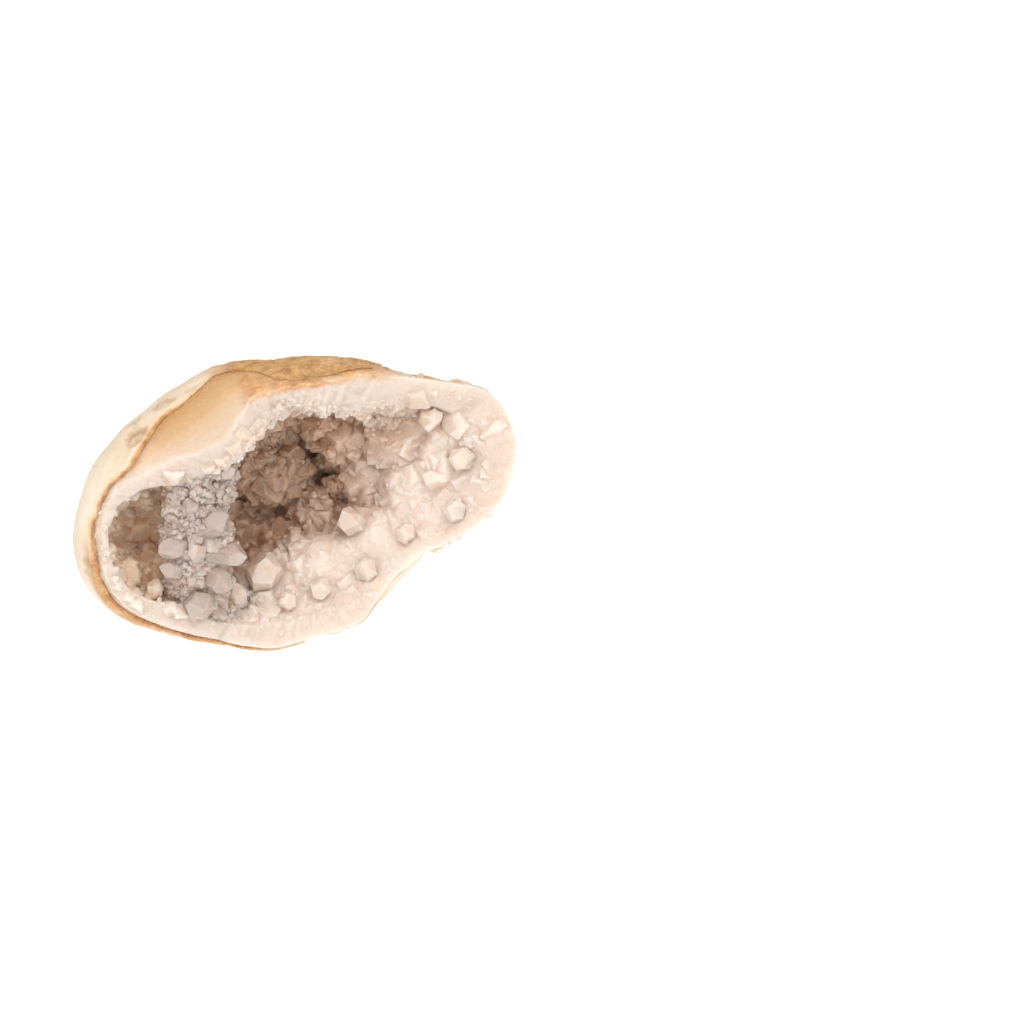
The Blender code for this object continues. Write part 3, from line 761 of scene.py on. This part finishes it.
p = to_body(coordinates(quartz.data))
angle, share = polar(p)
depth = depth_below(p)
thick = crust_thickness(p)
broken = 1 - step(np.abs(above_break(p)), 0.10, 0.45)
edge_q, edge_c = ring_value(QUARTZ_EDGE, angle), ring_value(CRUST_EDGE, angle)
attribute(quartz.data, "broken", broken)
attribute(quartz.data, "skin", (1 - step(depth - thick, 0.15, 0.45)) * (1 - broken))
attribute(quartz.data, "stain", np.clip((share - edge_q) / np.maximum(edge_c - edge_q, 0.05), 0, 1.3))
stain = (share - edge_q) / np.maximum(edge_c - edge_q, 0.05)
at_top = (1 - step(depth - thick, 0.1, 1.3)) * broken * angle_window(angle, 60, 104, 14)
on_skin = step(stain, -0.45, 0.15) * angle_window(angle, 62, 110, 9) * (1 - step(depth - thick, 0.3, 0.8))
attribute(quartz.data, "rust", np.maximum(at_top, on_skin))
behind = -above_break(p)
# Painted shade: the hollow's colour darkens the farther it lies behind the break, with an extra patch of painted shade
# on the right of the hollow. The left hollow keeps only a quarter of this shade.
shade = np.exp(-(((p[:, 0] - 20.5) / 8.5) ** 2) - ((p[:, 1] - 13.5) / 4.6) ** 2) * step(behind, 0.3, 2.0)
depth_shade = np.maximum(step(behind, 2.0, 11.0), shade)
attribute(quartz.data, "depth_shade", depth_shade * (1 - 0.75 * step(-p[:, 0], 20, 25)))
attribute(quartz.data, "lip", (1 - step(behind, 0.6, 3.5)) * angle_window(angle, 40, 176, 12) * (hollow_field(p) < 2.0))
attribute(quartz.data, "side", np.maximum(angle_window(angle, -84, 44, 14), angle_window(angle, 160, 292, 12)))
attribute(quartz.data, "warm", step(-p[:, 0], 19, 23) * step(behind, 1.0, 4.0))
attribute(quartz.data, "named", np.max([1 - step(np.linalg.norm(p - c_, axis=1) - 1.2 * w_, 0.0, 0.5) for c_, w_ in zip(named, wide)], 0) * (1 - step(behind, 4.0, 8.0)))
attribute(quartz.data, "columns", np.stack([np.radians(angle) * 33.0, share * 33.0 * 0.16, p[:, 2] * 0.3], 1), "FLOAT_VECTOR")


# ---------------------------------------------------------------- the curtain
def curtain_mesh(around_, rows_):
    stations = np.array(CURTAIN, float)
    x = np.linspace(0, len(stations) - 1, rows_)
    cols = [np.interp(x, np.arange(len(stations)), stations[:, k]) for k in range(5)]
    angles = np.arange(around_) / around_ * 2 * math.pi
    rows = []
    for u, v, w, a, b in zip(*cols):
        ring = np.stack([u + a * np.cos(angles), np.full(around_, v), w + b * np.sin(angles)], 1)
        bump = 1.0 * lumps(ring, 5.5, 7) + 0.5 * lumps(ring, 2.8, 8) + 0.2 * lumps(ring, 1.2, 9)
        out_ = np.stack([np.cos(angles), np.zeros(around_), np.sin(angles)], 1)
        rows.append(ring + out_ * (bump - 0.35)[:, None])
    points = np.concatenate(rows)
    r_, k_ = np.meshgrid(np.arange(rows_ - 1), np.arange(around_), indexing="ij")
    r_, k_ = r_.ravel(), k_.ravel()
    m_ = (k_ + 1) % around_
    one = np.stack([r_ * around_ + k_, r_ * around_ + m_, (r_ + 1) * around_ + m_], 1)
    two = np.stack([r_ * around_ + k_, (r_ + 1) * around_ + m_, (r_ + 1) * around_ + k_], 1)
    return points, np.concatenate([one, two])


cp, cf = curtain_mesh(72, 110)
n = np.cross(cp[cf[:, 1]] - cp[cf[:, 0]], cp[cf[:, 2]] - cp[cf[:, 0]])
axis_u = np.interp(-cp[cf].mean(1)[:, 1], [-13.5, 22.0], [-15.5, -19.5])
outw = cp[cf].mean(1)[:, 0] - axis_u
if (n[:, 0] * outw).mean() < 0:
    cf = cf[:, ::-1]
core = mesh_object("curtain_core", cp, cf.tolist() + [list(range(72))[::-1], list(range(109 * 72, 110 * 72))])
outward(core)


def curtain_size(q, r):
    size = (2.0 + 0.9 * lumps(q, 5.0, 74)) * np.exp(r.normal(0, 0.32, len(q)))
    size = size * (1 + 0.35 * step(-q[:, 1], 4, 14))
    return np.where(hollow_field(q) < 0.4, np.clip(size, 0.8, 4.2), 0.0)


feet, normal, size = scatter(cp, cf, 5000, curtain_size, 91, 0.50)
r = np.random.RandomState(92)
pick = r.randint(0, len(VARIANTS), len(feet))
stand = r.uniform(0.25, 0.85, len(feet))
direction = tips(normal + np.array([0.12, -0.15, -0.25]), r, 0.42)
feet = feet - direction * (size * (TOPS[pick] - stand))[:, None]
print("curtain crystals", len(feet))
core = grow("curtain_large", core, feet, direction, size, pick, 93)
cp, cf = triangles(core.data)


def fine_size(q, r):
    size = np.clip(0.85 * np.exp(r.normal(0, 0.28, len(q))), 0.5, 1.5)
    upper = 1 - step(-q[:, 1], 0, 10)
    patch = lumps(q, 4.5, 77) + 0.5 * lumps(q, 2.0, 78) + 0.45 * upper
    return np.where((hollow_field(q) < 0.4) & (patch > 0.15), size, 0.0)


feet, normal, size = scatter(cp, cf, 9000, fine_size, 95, 0.60)
r = np.random.RandomState(96)
pick = r.randint(0, len(VARIANTS), len(feet))
direction = tips(normal, r, 0.45)
feet = feet - direction * (size * (TOPS[pick] - r.uniform(0.3, 0.9, len(feet))))[:, None]
print("fine curtain crystals", len(feet))
curtain = grow("quartz_bridge", core, feet, direction, size, pick, 97)
print("triangles", len(triangles(curtain.data)[1]))
# Painted shade on the bridge, darker the farther back it reaches into the hollow.
attribute(curtain.data, "depth_shade", step(to_body(coordinates(curtain.data))[:, 2], 2.0, 14.0))


# ---------------------------------------------------------------- materials
class Nodes:
    """A short way to build a material's node tree."""

    def __init__(self, name):
        self.mat = bpy.data.materials.new(name)
        self.mat.use_nodes = True
        self.tree = self.mat.node_tree
        self.tree.nodes.clear()
        self.out = self.tree.nodes.new("ShaderNodeOutputMaterial")
        self.bsdf = self.tree.nodes.new("ShaderNodeBsdfPrincipled")
        self.tree.links.new(self.bsdf.outputs[0], self.out.inputs[0])
        coord = self.tree.nodes.new("ShaderNodeTexCoord")
        self.coord, self.facing = coord.outputs["Object"], coord.outputs["Normal"]

    def link(self, a, b):
        self.tree.links.new(a, b)

    def attr(self, name, vector=False):
        n_ = self.tree.nodes.new("ShaderNodeAttribute")
        n_.attribute_name = name
        return n_.outputs["Vector" if vector else "Fac"]

    def noise(self, scale, detail=3.0, rough=0.55, at=None, distortion=0.0):
        n_ = self.tree.nodes.new("ShaderNodeTexNoise")
        n_.inputs["Scale"].default_value = scale
        n_.inputs["Detail"].default_value = detail
        n_.inputs["Roughness"].default_value = rough
        n_.inputs["Distortion"].default_value = distortion
        self.link(at or self.coord, n_.inputs["Vector"])
        return n_.outputs["Fac"]

    def voronoi(self, scale, feature="F1", output="Distance", at=None, randomness=1.0):
        n_ = self.tree.nodes.new("ShaderNodeTexVoronoi")
        n_.feature = feature
        n_.inputs["Scale"].default_value = scale
        n_.inputs["Randomness"].default_value = randomness
        self.link(at or self.coord, n_.inputs["Vector"])
        return n_.outputs[output]

    def span(self, value, low, high, to_low=0.0, to_high=1.0):
        n_ = self.tree.nodes.new("ShaderNodeMapRange")
        n_.inputs["From Min"].default_value = low
        n_.inputs["From Max"].default_value = high
        n_.inputs["To Min"].default_value = to_low
        n_.inputs["To Max"].default_value = to_high
        self.link(value, n_.inputs["Value"])
        return n_.outputs["Result"]

    def math(self, how, a, b):
        n_ = self.tree.nodes.new("ShaderNodeMath")
        n_.operation = how
        for socket, value in zip(n_.inputs, (a, b)):
            if isinstance(value, (int, float)):
                socket.default_value = value
            else:
                self.link(value, socket)
        return n_.outputs[0]

    def mix(self, factor, a, b, blend="MIX"):
        n_ = self.tree.nodes.new("ShaderNodeMix")
        n_.data_type = "RGBA"
        n_.blend_type = blend
        if isinstance(factor, (int, float)):
            n_.inputs[0].default_value = factor
        else:
            self.link(factor, n_.inputs[0])
        for socket, value in ((n_.inputs[6], a), (n_.inputs[7], b)):
            if isinstance(value, tuple):
                socket.default_value = (*value, 1.0)
            else:
                self.link(value, socket)
        return n_.outputs[2]

    def bump(self, height, distance, strength=1.0, normal=None):
        n_ = self.tree.nodes.new("ShaderNodeBump")
        n_.inputs["Strength"].default_value = strength
        n_.inputs["Distance"].default_value = distance
        self.link(height, n_.inputs["Height"])
        if normal is not None:
            self.link(normal, n_.inputs["Normal"])
        return n_.outputs["Normal"]


def srgb(r, g, b):
    return tuple(((c / 255 + 0.055) / 1.055) ** 2.4 if c > 10 else c / 255 / 12.92 for c in (r, g, b))


def crust_material():
    m = Nodes("weathered_crust")
    broad = m.noise(60, 3, 0.5)
    fine = m.noise(600, 5, 0.7)
    cream = m.mix(m.span(broad, 0.35, 0.68), srgb(249, 235, 214), srgb(240, 217, 190))
    cream = m.mix(m.span(fine, 0.54, 0.74, 0, 0.35), cream, srgb(226, 190, 150))
    under = m.mix(m.span(m.noise(260, 4), 0.4, 0.65), srgb(236, 217, 194), srgb(212, 184, 154))
    pits = m.span(m.voronoi(900), 0.10, 0.22, 0.75, 0.0)
    under = m.mix(m.math("MULTIPLY", pits, m.span(m.noise(160, 2), 0.48, 0.62)), under, srgb(140, 108, 78))
    colour = m.mix(m.attr("flake"), cream, under)
    face = m.mix(m.span(m.noise(300, 4), 0.4, 0.7), srgb(250, 230, 200), srgb(240, 206, 164))
    colour = m.mix(m.attr("broken"), colour, face)
    rusty = m.mix(m.span(m.noise(430, 5, 0.72), 0.36, 0.64), srgb(228, 178, 122), srgb(180, 130, 82))
    rust = m.math("MULTIPLY", m.attr("rust"), m.span(m.noise(110, 4, 0.65), 0.22, 0.44))
    colour = m.mix(rust, colour, rusty)
    seam = m.math("MULTIPLY", m.attr("seam"), m.span(m.noise(220, 4, 0.7), 0.22, 0.48))
    colour = m.mix(seam, colour, m.mix(m.span(m.noise(500, 4, 0.7), 0.4, 0.6), srgb(222, 162, 104), srgb(176, 122, 76)))
    crack = m.voronoi(55, "DISTANCE_TO_EDGE", "Distance")
    crack = m.math("MULTIPLY", m.span(crack, 0.0, 0.014, 1.0, 0.0), m.span(m.noise(45, 2), 0.52, 0.62))
    colour = m.mix(m.math("MULTIPLY", crack, 0.6), colour, srgb(176, 134, 92))
    grit = m.voronoi(1100)
    colour = m.mix(m.math("MULTIPLY", m.attr("rust"), m.span(grit, 0.05, 0.45, 0.55, 0.0)), colour, srgb(250, 206, 150))
    m.link(colour, m.bsdf.inputs["Base Color"])
    m.link(m.span(fine, 0.3, 0.7, 0.62, 0.9), m.bsdf.inputs["Roughness"])
    m.bsdf.inputs["Subsurface Weight"].default_value = 0.25
    m.bsdf.inputs["Subsurface Radius"].default_value = (1.0, 0.7, 0.45)
    m.bsdf.inputs["Subsurface Scale"].default_value = 0.0012
    m.bsdf.inputs["Specular IOR Level"].default_value = 0.35
    normal = m.bump(m.noise(900, 4, 0.6), 0.00010, 0.8)
    normal = m.bump(m.math("MULTIPLY", m.math("MULTIPLY", pits, m.attr("flake")), -1.0), 0.00022, 0.8, normal)
    normal = m.bump(m.math("MULTIPLY", crack, -1.0), 0.00018, 0.9, normal)
    normal = m.bump(m.math("MULTIPLY", m.span(grit, 0.0, 0.5, 1.0, 0.0), m.attr("rust")), 0.00022, 0.9, normal)
    m.link(normal, m.bsdf.inputs["Normal"])
    return m.mat


def quartz_surface(m, roughness):
    """Fine facets and a faint grain, as broken and grown quartz has."""
    facets = m.voronoi(620, "F1", "Color")
    normal = m.bump(m.voronoi(620), 0.00016, 0.5)
    normal = m.bump(m.voronoi(1700), 0.00006, 0.5, normal)
    m.link(normal, m.bsdf.inputs["Normal"])
    m.link(m.span(m.noise(700, 3), 0.35, 0.7, roughness, roughness + 0.2), m.bsdf.inputs["Roughness"])
    m.bsdf.inputs["IOR"].default_value = 1.545
    return facets


def quartz_material():
    m = Nodes("quartz_druse")
    streak = m.noise(0.9, 4, 0.6, m.attr("columns", True))
    cloud = m.noise(190, 3, 0.55)
    tone = m.attr("tone")
    white = m.mix(m.span(streak, 0.34, 0.66, 0.0, 0.7), srgb(221, 204, 190), srgb(231, 217, 206))
    white = m.mix(m.attr("side"), white, srgb(231, 214, 200))
    white = m.mix(m.span(m.noise(420, 4, 0.7), 0.4, 0.66, 0, 0.6), white, srgb(230, 213, 199))
    inside = m.mix(m.span(tone, 0.0, 1.0, 0.0, 0.35), srgb(241, 225, 212), srgb(232, 213, 198))
    inside = m.mix(m.span(cloud, 0.45, 0.72, 0, 0.35), inside, srgb(248, 232, 219))
    inside = m.mix(m.attr("named"), inside, srgb(232, 213, 199))
    inside = m.mix(m.attr("lip"), inside, srgb(226, 206, 190))
    # Painted shade: brown-grey darkening deep in the hollow.
    inside = m.mix(m.attr("depth_shade"), inside, srgb(198, 166, 142))
    inside = m.mix(m.attr("warm"), inside, srgb(247, 217, 190))
    stain = m.attr("stain")
    amber = m.mix(m.span(stain, -0.1, 0.45), srgb(228, 209, 190), srgb(229, 195, 152))
    amber = m.mix(m.span(stain, 0.35, 0.90), amber, srgb(214, 166, 114))
    amber = m.mix(m.math("MULTIPLY", m.span(stain, 0.7, 1.05), m.span(m.noise(120, 4), 0.3, 0.6)), amber, srgb(206, 148, 94))
    amber = m.mix(m.span(m.noise(90, 4, 0.6), 0.5, 0.72, 0, 0.4), amber, srgb(226, 180, 132))
    colour = m.mix(m.attr("broken"), inside, white)
    colour = m.mix(m.attr("skin"), colour, amber)
    rusty = m.mix(m.span(m.noise(430, 5, 0.72), 0.36, 0.64), srgb(238, 190, 136), srgb(196, 144, 94))
    rust = m.math("MULTIPLY", m.attr("rust"), m.span(m.noise(240, 4, 0.7), 0.25, 0.52))
    colour = m.mix(rust, colour, rusty)
    m.link(colour, m.bsdf.inputs["Base Color"])
    quartz_surface(m, 0.20)
    m.bsdf.inputs["Subsurface Weight"].default_value = 1.0
    m.bsdf.inputs["Subsurface Radius"].default_value = (1.0, 0.90, 0.82)
    m.bsdf.inputs["Subsurface Scale"].default_value = 0.0034
    return m.mat


def crystal_material(name, light, shade_colour, transmission, scale, roughness):
    m = Nodes(name)
    tone = m.attr("tone")
    colour = m.mix(m.span(tone, 0.0, 1.0, 0.0, 0.45), light, srgb(226, 206, 194))
    # Painted shade: the colour darkens towards the darker colour deep in the hollow. It also darkens on facets turned
    # certain ways, through a noise read off each facet's normal, standing in for how facets catch the light.
    colour = m.mix(m.attr("depth_shade"), colour, shade_colour)
    facing = m.noise(2.3, 1.0, 0.5, m.facing)
    colour = m.mix(m.span(facing, 0.38, 0.62, 0.0, 0.55), colour, shade_colour)
    veil = m.span(m.noise(380, 4, 0.65, distortion=0.6), 0.44, 0.66, 0.0, 0.55)
    colour = m.mix(veil, colour, srgb(252, 244, 238))
    m.link(colour, m.bsdf.inputs["Base Color"])
    quartz_surface(m, roughness)
    m.bsdf.inputs["Transmission Weight"].default_value = transmission
    m.bsdf.inputs["Coat Weight"].default_value = 0.4
    m.bsdf.inputs["Coat Roughness"].default_value = 0.02
    m.bsdf.inputs["Subsurface Weight"].default_value = 1.0
    m.bsdf.inputs["Subsurface Radius"].default_value = (1.0, 0.86, 0.76)
    m.bsdf.inputs["Subsurface Scale"].default_value = scale
    return m.mat


def give(obj, material):
    obj.data.materials.clear()
    obj.data.materials.append(material)
    obj.active_material = material


bridge_material = crystal_material("bridge_quartz", srgb(240, 219, 206), srgb(206, 176, 156), 0.30, 0.0016, 0.04)
# A near-white material for the bevelled crystal edges: a painted highlight.
edge_highlight_material = crystal_material("point_quartz_edge_highlight", srgb(255, 250, 246), srgb(250, 240, 232), 0.10, 0.0008, 0.02)
# Lit and shaded copies of one crystal material, with painted light and shade. The first copy is for crystals near the
# mouth. The shaded and deep copies are painted darker for crystals farther into the hollow. The pale copy, with lighter
# facet shade and less transmission, is for three crystals on the slope and floor.
point_materials = [
    crystal_material("point_quartz", srgb(242, 224, 212), srgb(206, 180, 163), 0.45, 0.0009, 0.03),
    crystal_material("point_quartz_shaded", srgb(240, 219, 204), srgb(196, 168, 150), 0.35, 0.0010, 0.05),
    crystal_material("point_quartz_pale", srgb(240, 218, 201), srgb(218, 193, 174), 0.15, 0.0018, 0.06),
    crystal_material("point_quartz_deep", srgb(216, 188, 166), srgb(176, 146, 124), 0.10, 0.0012, 0.08),
]
give(crust, crust_material())
give(quartz, quartz_material())
give(curtain, bridge_material)

# ---------------------------------------------------------------- which piece stands for which node
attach(crust, "root")
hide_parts("rind")
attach(quartz, "root")
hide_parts("quartz_wall", *MERGED)
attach(curtain, "root")
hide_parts("quartz_curtain")
for name, node in frame["nodes"].items():
    if name.startswith("crystal_") and name not in MERGED:
        low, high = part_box(name)
        # Each crystal gets a lighter or a more shaded copy by how far behind the break it lies: painted shade deeper
        # in.
        inward = -float(above_break(to_body([(low + high) / 2]))[0])
        pale = name in ("crystal_slope_round", "crystal_floor_pointed", "crystal_floor_upright")
        give(node, point_materials[2 if pale else 0 if inward < 2.5 else 1 if inward < 9.0 else 3])
        # The bevels carry the near-white painted edge highlight.
        node.data.materials.append(edge_highlight_material)
        bevel = node.modifiers.new("soft_edges", "BEVEL")
        bevel.width = 0.00022
        bevel.segments = 2
        bevel.material = 1
        bevel.limit_method = "ANGLE"
        bevel.angle_limit = math.radians(25)

# ---------------------------------------------------------------- studio
floor_mesh = bpy.data.meshes.new("floor")
floor_mesh.from_pydata([(-12, -12, 0), (12, -12, 0), (12, 12, 0), (-12, 12, 0)], [], [(0, 1, 2, 3)])
floor = bpy.data.objects.new("floor", floor_mesh)
floor.location.z = -0.00002
bpy.context.scene.collection.objects.link(floor)
m = Nodes("white_floor")
m.bsdf.inputs["Base Color"].default_value = (0.35, 0.35, 0.35, 1)
m.bsdf.inputs["Roughness"].default_value = 0.10
m.bsdf.inputs["Specular IOR Level"].default_value = 0.5
m.bsdf.inputs["Emission Color"].default_value = (1, 1, 1, 1)
m.bsdf.inputs["Emission Strength"].default_value = 0.85
floor.data.materials.append(m.mat)
floor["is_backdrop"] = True

world = bpy.data.worlds.new("studio")
bpy.context.scene.world = world
world.use_nodes = True
tree = world.node_tree
tree.nodes.clear()
output = tree.nodes.new("ShaderNodeOutputWorld")
light = tree.nodes.new("ShaderNodeBackground")
light.inputs["Color"].default_value = (1.0, 0.985, 0.97, 1)
light.inputs["Strength"].default_value = 0.60
white_back = tree.nodes.new("ShaderNodeBackground")
white_back.inputs["Color"].default_value = (1, 1, 1, 1)
white_back.inputs["Strength"].default_value = 1.0
path = tree.nodes.new("ShaderNodeLightPath")
mix = tree.nodes.new("ShaderNodeMixShader")
tree.links.new(path.outputs["Is Camera Ray"], mix.inputs[0])
tree.links.new(light.outputs[0], mix.inputs[1])
tree.links.new(white_back.outputs[0], mix.inputs[2])
tree.links.new(mix.outputs[0], output.inputs[0])


def softbox(name, place, size, power, colour=(1, 1, 1)):
    data = bpy.data.lights.new(name, "AREA")
    data.shape = "RECTANGLE"
    data.size, data.size_y = size
    data.energy = power
    data.color = colour
    lamp = bpy.data.objects.new(name, data)
    bpy.context.scene.collection.objects.link(lamp)
    lamp.location = place
    aim = Vector((0, 0, 0.03)) - Vector(place)
    lamp.rotation_euler = aim.to_track_quat("-Z", "Y").to_euler()
    return lamp


softbox("key", (0.25, -0.55, 0.75), (0.45, 0.45), 2.9, (1.0, 0.97, 0.93))
softbox("fill", (-0.8, -0.6, 0.35), (0.5, 0.6), 1.2, (1.0, 0.98, 0.97))
for k, spot in enumerate(((0.10, -1.0, 0.55), (-0.55, -0.9, 0.65), (0.75, -0.8, 0.45), (-0.25, -0.8, 1.0), (0.45, -1.1, 0.15), (0.0, -0.5, 1.2))):
    softbox(f"spark_{k}", spot, (0.05, 0.05), 0.35)

camera_data = bpy.data.cameras.new("camera")
camera = bpy.data.objects.new("camera", camera_data)
bpy.context.scene.collection.objects.link(camera)
bpy.context.scene.camera = camera
camera_data.lens = 135.0
camera_data.sensor_width = 36.0
camera_data.clip_start = 0.05
camera_data.clip_end = 60.0
c, s = math.cos(math.radians(LEAN)), math.sin(math.radians(LEAN))
right, up, back = Vector((1, 0, 0)), Vector((0, s, c)), Vector((0, -c, s))
place = Vector(to_frame([(43.2, -1.6, -204.8 * 135.0 / 36.0)])[0])
camera.matrix_world = Matrix(
    ((right.x, up.x, back.x, place.x), (right.y, up.y, back.y, place.y), (right.z, up.z, back.z, place.z), (0, 0, 0, 1))
)
bpy.context.scene.view_settings.view_transform = "Standard"

low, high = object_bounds()
